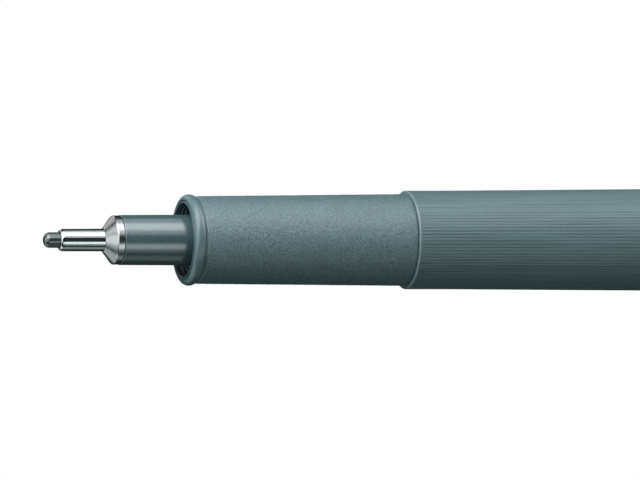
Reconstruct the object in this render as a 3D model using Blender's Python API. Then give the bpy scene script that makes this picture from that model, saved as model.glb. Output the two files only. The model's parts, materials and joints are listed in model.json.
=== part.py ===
"""A fine-point technical pen, uncapped, with its cap pushed onto the post at the rear.

The pen lies along X with its point towards -X. Its cap and its clip touch the ground, Z = 0.
"""

import math

import bmesh
import bpy

MM = 0.001

# Roundness and fits
SEGMENTS = 32
THIN_SEGMENTS = 12
ROUND_STEPS = 4
MERGE = 0.002 * MM
PRESS_FIT = 0.04 * MM
SEAT_GAP = 0.05 * MM
POST_CLEARANCE = 0.06 * MM
PLAY = 0.3 * MM
SHARP_ANGLE = 35

# Stations along the pen, from the nib's tip
SLEEVE_FRONT = 1.70 * MM
CONE_FRONT = 6.40 * MM
BAND_FRONT = 7.48 * MM
HOLDER_FRONT = 8.18 * MM
SLEEVE_END = 12.0 * MM
SHANK_END = 13.0 * MM
GRIP_FRONT = 15.08 * MM
RECESS_FLOOR = 19.50 * MM
HOLDER_FLANGE_END = 20.70 * MM
HOLDER_END = 27.4 * MM
TUBE_START = 27.7 * MM
CORE_START = 28.2 * MM
FILM_START = 28.5 * MM
NIB_END = 34.0 * MM
BARREL_FRONT = 39.50 * MM
GRIP_SPIGOT_END = 49.5 * MM
FILM_END = 112.2 * MM
CORE_END = 112.5 * MM
TUBE_END = 112.7 * MM
PLUG_START = 112.8 * MM
BARREL_END = 123.0 * MM
PLUG_CAVITY_END = 130.8 * MM
POST_END = 132.3 * MM

# Nib, metal sleeve and ferrule
NIB_RADIUS = 0.81 * MM
NIB_DOME_LENGTH = 0.62 * MM
SLEEVE_MOUTH_RADIUS = 0.97 * MM
SLEEVE_RADIUS = 1.16 * MM
SLEEVE_REAR_RADIUS = 1.177 * MM
SLEEVE_ROUND_LENGTH = 0.40 * MM
BAND_RADIUS = 2.55 * MM
BAND_CHAMFER = 0.07 * MM
SHANK_RADIUS = 2.0 * MM

# Nib holder
HOLDER_RADIUS = 2.60 * MM
HOLDER_REAR_RADIUS = 2.66 * MM
HOLDER_EDGE = 0.08 * MM
HOLDER_PASSAGE_RADIUS = 1.2 * MM
HOLDER_BODY_RADIUS = 3.50 * MM

# Grip section
MOUTH_RADIUS = 3.87 * MM
LIP_FLAT_RADIUS = 4.20 * MM
LIP_RADIUS = 4.72 * MM
LIP_CREST = 0.53 * MM
LIP_LENGTH = 1.21 * MM
GRIP_RADIUS = 4.565 * MM
GRIP_REAR_RADIUS = 4.82 * MM
GRIP_BORE_RADIUS = 3.55 * MM

# Barrel: a short straight, a slow swell to the belly, and a fall to the rear end
BORE_RADIUS = 4.30 * MM
BARREL_RADIUS = 5.187 * MM
BARREL_EDGE = 0.10 * MM
SWELL_START = 43.5 * MM
SWELL_SLOPE = 0.0094
BELLY_START = 66.0 * MM
BELLY_CENTRE = 90.0 * MM
BARREL_STEPS = 12

# Ink reservoir, its film and its breather tube
CORE_RADIUS = 3.25 * MM
FILM_INNER_RADIUS = 3.29 * MM
FILM_OUTER_RADIUS = 3.37 * MM
GROOVE_RADIUS = 0.45 * MM
GROOVE_OFFSET = 2.90 * MM
TUBE_RADIUS = 0.38 * MM
TUBE_BORE_RADIUS = 0.22 * MM
TUBE_OFFSET = 2.87 * MM

# Rear post, which is as wide as the back of the grip so that the cap fits on both
POST_RADIUS = 4.80 * MM
POST_EDGE = 0.50 * MM
PLUG_BORE_RADIUS = 3.0 * MM

# Cap, measured from its own mouth
CAP_MOUTH = BARREL_END + PLAY
CAP_RADIUS = 5.55 * MM
CAP_END_RADIUS = 5.45 * MM
CAP_EDGE = 0.25 * MM
CAP_TAPER_START = 36.0 * MM
CAP_SHELL_LENGTH = 45.0 * MM
CAP_LENGTH = 46.5 * MM
CAP_STEP = 25.0 * MM
CAP_INNER_RADIUS = 4.60 * MM
LINER_MOUTH = 20.5 * MM
LINER_CAVITY_END = 41.0 * MM
LINER_END = 42.2 * MM
LINER_RADIUS = 3.55 * MM
LINER_BORE_RADIUS = 2.72 * MM
LINER_EDGE = 0.2 * MM
CROWN_SPIGOT_START = 44.0 * MM
CROWN_EDGE = 0.45 * MM

# Clip, bent from steel strip: a tongue into the cap, a bend, an arm, a foot and a turned-up tip
CLIP_WIDTH = 4.0 * MM
CLIP_THICKNESS = 0.45 * MM
CLIP_ROOT = 43.25 * MM
TONGUE_TIP_RADIUS = 2.4 * MM
CLIP_HINGE_RADIUS = 5.90 * MM
CLIP_BEND_RADIUS = 1.3 * MM
CLIP_ARM_RADIUS = 8.00 * MM
CLIP_FOOT = 8.2 * MM
CLIP_FOOT_GAP = 0.10 * MM
CLIP_BOW = 0.25 * MM
CLIP_TIP = 4.8 * MM
CLIP_TIP_RISE = 0.9 * MM
CLIP_BEND_STEPS = 6
CLIP_ARM_STEPS = 9
SLOT_CLEARANCE = 0.25 * MM

# How the pen lies: on its cap, rolled over until the clip's lower edge meets the ground as well
CLIP_OUTER_RADIUS = CLIP_ARM_RADIUS + CLIP_THICKNESS / 2
CLIP_CORNER_RADIUS = math.hypot(CLIP_OUTER_RADIUS, CLIP_WIDTH / 2)
CLIP_CORNER_ANGLE = math.atan2(CLIP_WIDTH / 2, CLIP_OUTER_RADIUS)
CLIP_DROP = math.asin(CAP_RADIUS / CLIP_CORNER_RADIUS) - CLIP_CORNER_ANGLE
CLIP_REACH = CLIP_CORNER_RADIUS * math.cos(CLIP_DROP - CLIP_CORNER_ANGLE)
AXIS_Y = (CLIP_REACH - CAP_RADIUS) / 2
AXIS_Z = CAP_RADIUS
PEN_LENGTH = CAP_MOUTH + CAP_LENGTH
NIB_X = -PEN_LENGTH / 2

# Colours, roughness and metallic values
PLASTIC = (0.105, 0.145, 0.155, 1.0)
DARK_PLASTIC = (0.075, 0.105, 0.110, 1.0)
FIBRE = (0.030, 0.036, 0.040, 1.0)
STEEL = (0.62, 0.63, 0.63, 1.0)
CORE = (0.045, 0.048, 0.055, 1.0)
CLEAR = (0.60, 0.63, 0.65, 1.0)
NATURAL = (0.55, 0.58, 0.58, 1.0)


def clear_scene():
    """Remove every object that is already there."""
    for item in list(bpy.data.objects):
        bpy.data.objects.remove(item, do_unlink=True)


def make_material(name, colour, roughness, metallic=0.0):
    """Return a Principled material."""
    material = bpy.data.materials.new(name)
    material.use_nodes = True
    shader = material.node_tree.nodes["Principled BSDF"]
    shader.inputs["Base Color"].default_value = colour
    shader.inputs["Roughness"].default_value = roughness
    shader.inputs["Metallic"].default_value = metallic
    return material


def make_empty(name, parent=None, x=0.0):
    """Add an empty on the pen's axis, x in front of or behind its parent."""
    empty = bpy.data.objects.new(name, None)
    bpy.context.collection.objects.link(empty)
    empty.parent = parent
    empty.location = (x, 0.0, 0.0)
    return empty


def add_object(name, bm, parent, material):
    """Turn a bmesh into a smooth-shaded object under parent."""
    bmesh.ops.recalc_face_normals(bm, faces=bm.faces)
    mesh = bpy.data.meshes.new(name)
    bm.to_mesh(mesh)
    bm.free()
    mesh.shade_smooth()
    mesh.set_sharp_from_angle(angle=math.radians(SHARP_ANGLE))
    item = bpy.data.objects.new(name, mesh)
    bpy.context.collection.objects.link(item)
    item.parent = parent
    if material:
        item.data.materials.append(material)
    return item


def quarter_round(start, end, steps=ROUND_STEPS, crest_last=True):
    """Points on a quarter ellipse from start to end, without start, as (x, radius).

    The curve is level, along the axis, at its crest: the end if crest_last, else the start.
    """
    points = []
    for step in range(1, steps + 1):
        turn = math.radians(90) * step / steps
        if crest_last:
            across, up = 1 - math.cos(turn), math.sin(turn)
        else:
            across, up = math.sin(turn), 1 - math.cos(turn)
        x = start[0] + (end[0] - start[0]) * across
        radius = start[1] + (end[1] - start[1]) * up
        points.append((x, radius))
    return points


def turned(name, outline, parent, material, segments=SEGMENTS):
    """Spin an outline of (x, radius) points round the X axis.

    An outline that starts off the axis is closed into a tube.
    """
    bm = bmesh.new()
    verts = [bm.verts.new((x, 0.0, radius)) for x, radius in outline]
    edges = [bm.edges.new(pair) for pair in zip(verts, verts[1:])]
    if outline[0][1] > 0:
        edges.append(bm.edges.new((verts[-1], verts[0])))
    bmesh.ops.spin(
        bm,
        geom=verts + edges,
        cent=(0, 0, 0),
        axis=(1, 0, 0),
        angle=math.radians(360),
        steps=segments,
        use_merge=True,
    )
    bmesh.ops.remove_doubles(bm, verts=bm.verts, dist=MERGE)
    return add_object(name, bm, parent, material)


def tube_outline(start, end, inner, outer):
    """The outline of a plain tube, for turned()."""
    return [(start, inner), (start, outer), (end, outer), (end, inner)]


def cut(item, cutter, name):
    """Subtract cutter from item with a Boolean modifier."""
    cutter.hide_render = True
    cutter.display_type = "WIRE"
    boolean = item.modifiers.new(name, "BOOLEAN")
    boolean.operation = "DIFFERENCE"
    boolean.solver = "EXACT"
    boolean.object = cutter


def writing_nib(pen):
    """The fibre point and its long tail, which reaches into the reservoir."""
    outline = [(0.0, 0.0)]
    outline += quarter_round((0.0, 0.0), (NIB_DOME_LENGTH, NIB_RADIUS), steps=6)
    outline += [(NIB_END, NIB_RADIUS), (NIB_END, 0.0)]
    return turned("writing_nib", outline, pen, make_material("nib_fibre", FIBRE, 0.75))


def tip_sleeve(pen):
    """The polished steel tube round the nib."""
    bore = NIB_RADIUS + PRESS_FIT
    outline = [(SLEEVE_END, bore), (SLEEVE_FRONT, bore), (SLEEVE_FRONT, SLEEVE_MOUTH_RADIUS)]
    outline += quarter_round(outline[-1], (SLEEVE_FRONT + SLEEVE_ROUND_LENGTH, SLEEVE_RADIUS))
    outline += [(CONE_FRONT, SLEEVE_REAR_RADIUS), (SLEEVE_END, SLEEVE_REAR_RADIUS)]
    return turned("tip_sleeve", outline, pen, make_material("polished_steel", STEEL, 0.12, 1.0))


def tip_ferrule(pen):
    """The turned cone and band, with a shank pressed into the holder."""
    bore = SLEEVE_REAR_RADIUS + PRESS_FIT
    band_end = HOLDER_FRONT - SEAT_GAP
    outline = [
        (SHANK_END, bore),
        (CONE_FRONT, bore),
        (BAND_FRONT - BAND_CHAMFER, BAND_RADIUS - BAND_CHAMFER),
        (BAND_FRONT, BAND_RADIUS),
        (band_end, BAND_RADIUS),
        (band_end, SHANK_RADIUS),
        (SHANK_END, SHANK_RADIUS),
    ]
    return turned("tip_ferrule", outline, pen, make_material("turned_steel", STEEL, 0.28, 1.0))


def nib_holder(pen):
    """The glossy tube that carries the tip, with a flange that closes the grip's recess."""
    socket = SHANK_RADIUS + PRESS_FIT
    socket_end = SHANK_END + PLAY
    outline = [
        (socket_end, HOLDER_PASSAGE_RADIUS),
        (socket_end, socket),
        (HOLDER_FRONT, socket),
        (HOLDER_FRONT, HOLDER_RADIUS - HOLDER_EDGE),
        (HOLDER_FRONT + HOLDER_EDGE, HOLDER_RADIUS),
        (RECESS_FLOOR, HOLDER_REAR_RADIUS),
        (RECESS_FLOOR, MOUTH_RADIUS - PRESS_FIT),
        (HOLDER_FLANGE_END, MOUTH_RADIUS - PRESS_FIT),
        (HOLDER_FLANGE_END, HOLDER_BODY_RADIUS),
        (HOLDER_END, HOLDER_BODY_RADIUS),
        (HOLDER_END, HOLDER_PASSAGE_RADIUS),
    ]
    return turned("nib_holder", outline, pen, make_material("gloss_holder", DARK_PLASTIC, 0.2))


def grip_section(pen):
    """The textured front section: rounded lip, taper, and a spigot into the barrel."""
    crest = (GRIP_FRONT + LIP_CREST, LIP_RADIUS)
    lip_end = (GRIP_FRONT + LIP_LENGTH, GRIP_RADIUS)
    shoulder = BARREL_FRONT - SEAT_GAP
    spigot = BORE_RADIUS - PRESS_FIT
    stop = HOLDER_FLANGE_END + SEAT_GAP
    outline = [(stop, GRIP_BORE_RADIUS), (stop, MOUTH_RADIUS), (GRIP_FRONT, MOUTH_RADIUS)]
    outline += [(GRIP_FRONT, LIP_FLAT_RADIUS)]
    outline += quarter_round(outline[-1], crest)
    outline += quarter_round(crest, lip_end, crest_last=False)
    outline += [
        (shoulder, GRIP_REAR_RADIUS),
        (shoulder, spigot),
        (GRIP_SPIGOT_END, spigot),
        (GRIP_SPIGOT_END, GRIP_BORE_RADIUS),
    ]
    return turned("grip_section", outline, pen, make_material("grained_plastic", PLASTIC, 0.5))


def barrel_radius(x):
    """Outer radius of the barrel at station x."""
    rise = SWELL_SLOPE * (BELLY_START - SWELL_START)
    curve = SWELL_SLOPE / (2 * (BELLY_CENTRE - BELLY_START))
    belly = BARREL_RADIUS + rise + curve * (BELLY_CENTRE - BELLY_START) ** 2
    if x < SWELL_START:
        return BARREL_RADIUS
    if x < BELLY_START:
        return BARREL_RADIUS + SWELL_SLOPE * (x - SWELL_START)
    return belly - curve * (x - BELLY_CENTRE) ** 2


def barrel(pen):
    """The long tube, with a sharp step at its front."""
    edge = (BARREL_FRONT + BARREL_EDGE, BARREL_RADIUS)
    outline = [(BARREL_END, BORE_RADIUS), (BARREL_FRONT, BORE_RADIUS)]
    outline += [(BARREL_FRONT, BARREL_RADIUS - BARREL_EDGE)]
    outline += quarter_round(outline[-1], edge, steps=2)
    outline += [(SWELL_START, BARREL_RADIUS)]
    length = BARREL_END - BARREL_EDGE - SWELL_START
    for step in range(1, BARREL_STEPS + 1):
        x = SWELL_START + length * step / BARREL_STEPS
        outline.append((x, barrel_radius(x)))
    outline += [(BARREL_END, barrel_radius(BARREL_END) - BARREL_EDGE)]
    return turned("barrel", outline, pen, make_material("satin_plastic", PLASTIC, 0.42))


def ink_reservoir(pen):
    """The fibre core, with a blind bore for the nib's tail and a groove for the breather."""
    bore = NIB_RADIUS + PRESS_FIT
    bore_end = NIB_END + PLAY
    outline = [(bore_end, 0.0), (bore_end, bore), (CORE_START, bore), (CORE_START, CORE_RADIUS)]
    outline += [(CORE_END, CORE_RADIUS), (CORE_END, 0.0)]
    core = turned("ink_reservoir", outline, pen, make_material("inked_fibre", CORE, 0.9))
    start = CORE_START - GROOVE_RADIUS
    end = CORE_END + GROOVE_RADIUS
    round_bar = [(start, 0.0), (start, GROOVE_RADIUS), (end, GROOVE_RADIUS), (end, 0.0)]
    groove = turned("groove_cutter", round_bar, pen, None, THIN_SEGMENTS)
    groove.location = (0.0, 0.0, GROOVE_OFFSET)
    cut(core, groove, "breather_groove")
    return core


def reservoir_film(pen):
    """The clear film wrapped round the core."""
    material = make_material("clear_film", CLEAR, 0.15)
    outline = tube_outline(FILM_START, FILM_END, FILM_INNER_RADIUS, FILM_OUTER_RADIUS)
    return turned("reservoir_film", outline, pen, material)


def breather_tube(pen):
    """The fine air tube that lies in the core's groove, under the film."""
    material = make_material("natural_plastic", NATURAL, 0.35)
    outline = tube_outline(TUBE_START, TUBE_END, TUBE_BORE_RADIUS, TUBE_RADIUS)
    tube = turned("breather_tube", outline, pen, material, THIN_SEGMENTS)
    tube.location = (0.0, 0.0, TUBE_OFFSET)
    return tube


def rear_plug(pen):
    """The plug that closes the barrel and carries the post for the cap."""
    shoulder = BARREL_END + SEAT_GAP
    spigot = BORE_RADIUS - PRESS_FIT
    rim = (POST_END, POST_RADIUS - POST_EDGE)
    outline = [(PLUG_CAVITY_END, 0.0), (PLUG_CAVITY_END, PLUG_BORE_RADIUS), (PLUG_START, PLUG_BORE_RADIUS)]
    outline += [(PLUG_START, spigot), (shoulder, spigot), (shoulder, POST_RADIUS)]
    outline += [(POST_END - POST_EDGE, POST_RADIUS)]
    outline += quarter_round(outline[-1], rim, crest_last=False)
    outline += [(POST_END, 0.0)]
    return turned("rear_plug", outline, pen, make_material("post_plastic", PLASTIC, 0.45))


def cap_shell(cap):
    """The cap's outer tube, with a slot for the clip's tongue."""
    bore = POST_RADIUS + POST_CLEARANCE
    outline = [(CAP_STEP, bore), (0.0, bore), (0.0, CAP_RADIUS - CAP_EDGE)]
    outline += quarter_round(outline[-1], (CAP_EDGE, CAP_RADIUS))
    outline += [
        (CAP_TAPER_START, CAP_RADIUS),
        (CAP_SHELL_LENGTH, CAP_END_RADIUS),
        (CAP_SHELL_LENGTH, CAP_INNER_RADIUS),
        (CAP_STEP, CAP_INNER_RADIUS),
    ]
    shell = turned("cap_shell", outline, cap, make_material("cap_plastic", PLASTIC, 0.42))
    bm = bmesh.new()
    bmesh.ops.create_cube(bm, size=1.0)
    slot = add_object("slot_cutter", bm, cap, None)
    slot.scale = (
        CLIP_THICKNESS + 2 * SLOT_CLEARANCE,
        CLIP_WIDTH + 2 * SLOT_CLEARANCE,
        2 * (CAP_RADIUS - CAP_INNER_RADIUS),
    )
    middle = (CAP_RADIUS + CAP_INNER_RADIUS) / 2
    slot.location = (CLIP_ROOT, -middle * math.cos(CLIP_DROP), -middle * math.sin(CLIP_DROP))
    slot.rotation_euler = (math.radians(90) + CLIP_DROP, 0.0, 0.0)
    cut(shell, slot, "clip_slot")
    return shell


def cap_liner(cap):
    """The inner cap, which seals on the nib holder, inside the grip's recess."""
    flange = CAP_INNER_RADIUS - PRESS_FIT
    edge = (LINER_MOUTH + LINER_EDGE, LINER_RADIUS)
    outline = [(LINER_CAVITY_END, 0.0), (LINER_CAVITY_END, LINER_BORE_RADIUS)]
    outline += [(LINER_MOUTH, LINER_BORE_RADIUS), (LINER_MOUTH, LINER_RADIUS - LINER_EDGE)]
    outline += quarter_round(outline[-1], edge, steps=2)
    outline += [(LINER_CAVITY_END, LINER_RADIUS), (LINER_CAVITY_END, flange)]
    outline += [(LINER_END, flange), (LINER_END, 0.0)]
    return turned("cap_liner", outline, cap, make_material("liner_plastic", NATURAL, 0.35))


def cap_crown(cap):
    """The button that closes the cap and traps the liner and the clip."""
    spigot = CAP_INNER_RADIUS - PRESS_FIT
    seat = CAP_SHELL_LENGTH + SEAT_GAP
    rim = (CAP_LENGTH, CAP_END_RADIUS - CROWN_EDGE)
    outline = [(CROWN_SPIGOT_START, 0.0), (CROWN_SPIGOT_START, spigot), (seat, spigot)]
    outline += [(seat, CAP_END_RADIUS), (CAP_LENGTH - CROWN_EDGE, CAP_END_RADIUS)]
    outline += quarter_round(outline[-1], rim, crest_last=False)
    outline += [(CAP_LENGTH, 0.0)]
    return turned("cap_crown", outline, cap, make_material("crown_plastic", DARK_PLASTIC, 0.25))


def clip_path():
    """The clip's middle line as (x, radius), from the tongue's tip to the turned-up end."""
    bend_x = CLIP_ROOT - CLIP_BEND_RADIUS
    bend_radius = CLIP_ARM_RADIUS - CLIP_BEND_RADIUS
    foot_radius = CAP_RADIUS + CLIP_FOOT_GAP + CLIP_THICKNESS / 2
    path = [(CLIP_ROOT, TONGUE_TIP_RADIUS), (CLIP_ROOT, CAP_INNER_RADIUS)]
    for step in range(CLIP_BEND_STEPS + 1):
        turn = math.radians(90) * step / CLIP_BEND_STEPS
        x = bend_x + CLIP_BEND_RADIUS * math.cos(turn)
        radius = bend_radius + CLIP_BEND_RADIUS * math.sin(turn)
        path.append((x, radius))
    for step in range(1, CLIP_ARM_STEPS + 1):
        part = step / CLIP_ARM_STEPS
        x = bend_x + (CLIP_FOOT - bend_x) * part
        bow = CLIP_BOW * math.sin(math.radians(180) * part)
        path.append((x, CLIP_ARM_RADIUS + (foot_radius - CLIP_ARM_RADIUS) * part + bow))
    foot_middle = (CLIP_FOOT + CLIP_TIP) / 2
    path.append((foot_middle, foot_radius + CLIP_TIP_RISE / 3))
    path.append((CLIP_TIP, foot_radius + CLIP_TIP_RISE))
    return path


def clip(cap):
    """The steel clip. Its origin is where it springs, just outside the cap's slot."""
    bm = bmesh.new()
    rows = []
    for x, radius in clip_path():
        along, out = x - CLIP_ROOT, radius - CLIP_HINGE_RADIUS
        rows.append([bm.verts.new((along, side * CLIP_WIDTH / 2, out)) for side in (-1, 1)])
    for near, far in zip(rows, rows[1:]):
        bm.faces.new((near[0], near[1], far[1], far[0]))
    strip = add_object("clip", bm, cap, make_material("clip_steel", STEEL, 0.3, 1.0))
    solidify = strip.modifiers.new("strip_thickness", "SOLIDIFY")
    solidify.thickness = CLIP_THICKNESS
    solidify.offset = 0.0
    solidify.use_even_offset = True
    across = -CLIP_HINGE_RADIUS * math.cos(CLIP_DROP)
    down = -CLIP_HINGE_RADIUS * math.sin(CLIP_DROP)
    strip.location = (CLIP_ROOT, across, down)
    strip.rotation_euler = (math.radians(90) + CLIP_DROP, 0.0, 0.0)
    return strip


def build_pen():
    """Build every piece where it lies."""
    clear_scene()
    pen = make_empty("pen_body")
    pen.location = (NIB_X, AXIS_Y, AXIS_Z)
    cap = make_empty("cap_body", pen, CAP_MOUTH)
    for make in (writing_nib, tip_sleeve, tip_ferrule, nib_holder, grip_section, barrel):
        make(pen)
    for make in (ink_reservoir, reservoir_film, breather_tube, rear_plug):
        make(pen)
    for make in (cap_shell, cap_liner, cap_crown, clip):
        make(cap)


build_pen()
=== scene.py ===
"""A technical pen on a pale studio floor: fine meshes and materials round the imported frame.

Stations are measured in metres along the pen from the nib's tip, and radii from its axis.
"""

import json
import math

import bmesh
import bpy
import numpy as np
from mathutils import Matrix, Vector


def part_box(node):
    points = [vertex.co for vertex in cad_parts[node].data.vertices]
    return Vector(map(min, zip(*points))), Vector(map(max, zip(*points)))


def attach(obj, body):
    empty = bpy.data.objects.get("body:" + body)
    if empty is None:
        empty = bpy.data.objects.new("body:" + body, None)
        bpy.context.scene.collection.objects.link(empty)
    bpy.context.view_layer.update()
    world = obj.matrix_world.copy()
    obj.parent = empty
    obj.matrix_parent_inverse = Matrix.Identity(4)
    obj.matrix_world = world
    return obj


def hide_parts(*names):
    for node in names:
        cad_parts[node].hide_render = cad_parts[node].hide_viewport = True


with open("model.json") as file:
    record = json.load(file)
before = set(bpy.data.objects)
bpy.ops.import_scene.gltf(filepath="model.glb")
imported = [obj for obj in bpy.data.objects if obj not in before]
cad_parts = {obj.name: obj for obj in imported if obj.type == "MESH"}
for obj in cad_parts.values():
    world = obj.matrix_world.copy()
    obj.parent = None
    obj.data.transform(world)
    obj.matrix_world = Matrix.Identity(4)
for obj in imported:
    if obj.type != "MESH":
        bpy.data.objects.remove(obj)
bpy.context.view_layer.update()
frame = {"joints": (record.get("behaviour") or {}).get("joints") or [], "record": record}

MM = 0.001
FULL_TURN = 2 * math.pi

# The frame: where the pen's axis runs, and the stations of its pieces
BARREL_LOW, BARREL_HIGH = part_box("barrel")
NIB_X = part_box("writing_nib")[0].x
AXIS = Vector((NIB_X, (BARREL_LOW.y + BARREL_HIGH.y) / 2, (BARREL_LOW.z + BARREL_HIGH.z) / 2))


def start_of(node):
    """The station at which a CAD node begins."""
    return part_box(node)[0].x - NIB_X


def end_of(node):
    """The station at which a CAD node ends."""
    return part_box(node)[1].x - NIB_X


def radius_of(node):
    """The largest radius of a turned CAD node."""
    low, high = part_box(node)
    return (high.z - low.z) / 2


# Roundness, fits and small edges
SMOOTH_SEGMENTS = 192
THIN_SEGMENTS = 48
ROUND_STEPS = 5
SHARP_ANGLE = math.radians(40)
MERGE = 0.0005 * MM
PRESS_FIT = 0.04 * MM
SEAT_GAP = 0.05 * MM
TINY_EDGE = 0.02 * MM
FINE_EDGE = 0.03 * MM
SMALL_EDGE = 0.05 * MM
EDGE = 0.1 * MM
FILLET = 0.2 * MM

# Nib, sleeve and ferrule
NIB_RADIUS = radius_of("writing_nib")
NIB_DOME = 0.62 * MM
NIB_RINGS = 0.5 * MM
NIB_STREAKS = 15
NIB_STREAK_DEPTH = 0.012 * MM
NIB_STREAK_DRIFT = 1.3
NIB_STREAK_WAVES = 5
SLEEVE_BORE = NIB_RADIUS + PRESS_FIT
SLEEVE_REAR_RADIUS = radius_of("tip_sleeve")
SLEEVE_RADIUS = SLEEVE_REAR_RADIUS - 0.017 * MM
SLEEVE_MOUTH_RADIUS = SLEEVE_BORE + 0.06 * MM
SLEEVE_ROUND = 0.50 * MM
CONE_FRONT = start_of("tip_ferrule")
BAND_FRONT = 7.48 * MM
BAND_RADIUS = radius_of("tip_ferrule")
BAND_CHAMFER = 0.12 * MM
SHANK_RADIUS = 2.0 * MM

# Nib holder
HOLDER_FRONT = start_of("nib_holder")
HOLDER_RADIUS = 2.60 * MM
HOLDER_REAR_RADIUS = 2.66 * MM
HOLDER_EDGE = 0.08 * MM
HOLDER_SOCKET = SHANK_RADIUS + PRESS_FIT
HOLDER_SOCKET_END = 13.3 * MM
HOLDER_PASSAGE = 1.2 * MM
HOLDER_FLANGE_RADIUS = radius_of("nib_holder")
HOLDER_BODY_RADIUS = 3.50 * MM
RECESS_FLOOR = 19.50 * MM
FLANGE_END = 20.70 * MM

# Grip section
GRIP_FRONT = start_of("grip_section")
MOUTH_RADIUS = 3.87 * MM
MOUTH_SPACING = 0.05 * MM
MOUTH_RINGS = 9
MOUTH_RING_DEPTH = 0.06 * MM
MOUTH_RINGS_INSET = 0.4 * MM
MOUTH_RINGS_FADE = 0.2 * MM
RIM_RADIUS = MOUTH_RADIUS + 0.16 * MM
LIP_GROOVE_DEPTH = 0.24 * MM
LIP_GROOVE_WIDTH = 0.10 * MM
LIP_SETBACK = 0.06 * MM
LIP_CREST = 0.62 * MM
LIP_RADIUS = 4.76 * MM
LIP_END = GRIP_FRONT + 1.21 * MM
GRIP_RADIUS = 4.565 * MM
CREASE_RADIUS = GRIP_RADIUS - 0.17 * MM
CREASE_WIDTH = 0.10 * MM
CREASE_TOP = 0.22 * MM
CREASE_END = 0.30 * MM
GRIP_EDGE = 0.06 * MM
GRIP_REAR_RADIUS = radius_of("grip_section")
GRIP_BORE = 3.55 * MM
GRIP_SEGMENTS = 300
GRAIN_SPACING = 0.10 * MM
GRAIN_DEPTH = 0.020 * MM
GRAIN_SIZE = 0.24 * MM
GRAIN_FADE = 0.5 * MM
COARSE_GRAIN = 0.65
COARSE_SEED = 3
FINE_SEED = 8
HASH_STEPS = np.array([73856093, 19349663, 83492791])
HASH_SEED = 2654435761
HASH_MIX = 1274126177
HASH_MASK = 0x7FFFFFFF
HASH_LEVELS = 65536

# Barrel and its grooves
BARREL_FRONT = start_of("barrel")
BARREL_END = end_of("barrel")
GRIP_SHOULDER = BARREL_FRONT - SEAT_GAP
BORE_RADIUS = 4.30 * MM
SPIGOT_RADIUS = BORE_RADIUS - PRESS_FIT
BARREL_RADIUS = 5.187 * MM
BARREL_EDGE = 0.15 * MM
SWELL_START = 43.5 * MM
SWELL_SLOPE = 0.0094
BELLY_START = 66.0 * MM
BELLY_CENTRE = 90.0 * MM
RING_SPACING = 2.4 * MM
GROOVES = 94
POINTS_PER_GROOVE = 7
GROOVE_DEPTH = 0.013 * MM
GROOVE_SHARPNESS = 1.5
GROOVE_INSET = 0.20 * MM
GROOVE_FADE = 0.30 * MM
FADE_STEPS = 6

# Ink reservoir, film and breather tube
CORE_RADIUS = radius_of("ink_reservoir")
CORE_BORE_END = end_of("writing_nib") + 0.3 * MM
CORE_BORE = NIB_RADIUS + PRESS_FIT
BREATHER_GROOVE_RADIUS = 0.45 * MM
BREATHER_GROOVE_OFFSET = 2.90 * MM
FILM_RADIUS = radius_of("reservoir_film")
FILM_THICKNESS = 0.08 * MM
TUBE_RADIUS = radius_of("breather_tube")
TUBE_BORE = 0.22 * MM
TUBE_OFFSET = 2.87 * MM

# Rear plug and its post
POST_RADIUS = radius_of("rear_plug")
POST_EDGE = 0.50 * MM
PLUG_BORE = 3.0 * MM
PLUG_CAVITY_END = 130.8 * MM
POST_RINGS = 3
POST_RING_SHARPNESS = 3
POST_DISH = 0.12 * MM

# Cap: its places along the pen are measured from its own mouth
CAP_MOUTH = start_of("cap_shell")
CAP_SHELL_LENGTH = end_of("cap_shell") - CAP_MOUTH
CAP_RADIUS = radius_of("cap_shell")
CAP_END_RADIUS = radius_of("cap_crown")
CAP_BORE = POST_RADIUS + 0.06 * MM
CAP_EDGE = 0.25 * MM
CAP_TAPER_START = 36.0 * MM
CAP_STEP = 25.0 * MM
CAP_INNER_RADIUS = 4.60 * MM
CAP_BAND = 2.6 * MM
CAP_PLAIN_END = 41.0 * MM
LINER_RADIUS = 3.55 * MM
LINER_BORE = 2.72 * MM
LINER_CAVITY_END = 41.0 * MM
LINER_EDGE = 0.2 * MM
CROWN_EDGE = 0.45 * MM
CROWN_SEAT_EDGE = 0.06 * MM
CROWN_RIM = 0.99 * MM
CROWN_DISH = 0.12 * MM

# Clip: its middle line, also measured from the cap's mouth
CLIP_WIDTH = 4.0 * MM
CLIP_THICKNESS = 0.45 * MM
CLIP_ROOT = 43.25 * MM
TONGUE_TIP_RADIUS = 2.4 * MM
CLIP_BEND_RADIUS = 1.3 * MM
CLIP_ARM_RADIUS = 8.00 * MM
CLIP_FOOT = 8.2 * MM
CLIP_FOOT_GAP = 0.10 * MM
CLIP_BOW = 0.25 * MM
CLIP_TIP = 4.8 * MM
CLIP_TIP_RISE = 0.9 * MM
CLIP_TIP_CURVE = 1.6
CLIP_BEND_STEPS = 14
CLIP_ARM_STEPS = 60
CLIP_TOE_STEPS = 12
CLIP_TOE_ROUND = 1.3 * MM
CLIP_TOE_NARROWEST = 0.35
CLIP_EDGE = 0.13 * MM
CLIP_EDGE_STEPS = 4
SLOT_CLEARANCE = 0.25 * MM

# The clip's side of the cap, as a turn round the axis from the top
CLIP_HINGE = next(joint for joint in frame["joints"] if joint["child"] == "clip")
CLIP_DROP = math.atan2(-CLIP_HINGE["axis"][1], CLIP_HINGE["axis"][2])
CLIP_TURN = Matrix.Rotation(math.radians(90) + CLIP_DROP, 4, "X")


# ---------------------------------------------------------------- outlines and meshes


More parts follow.
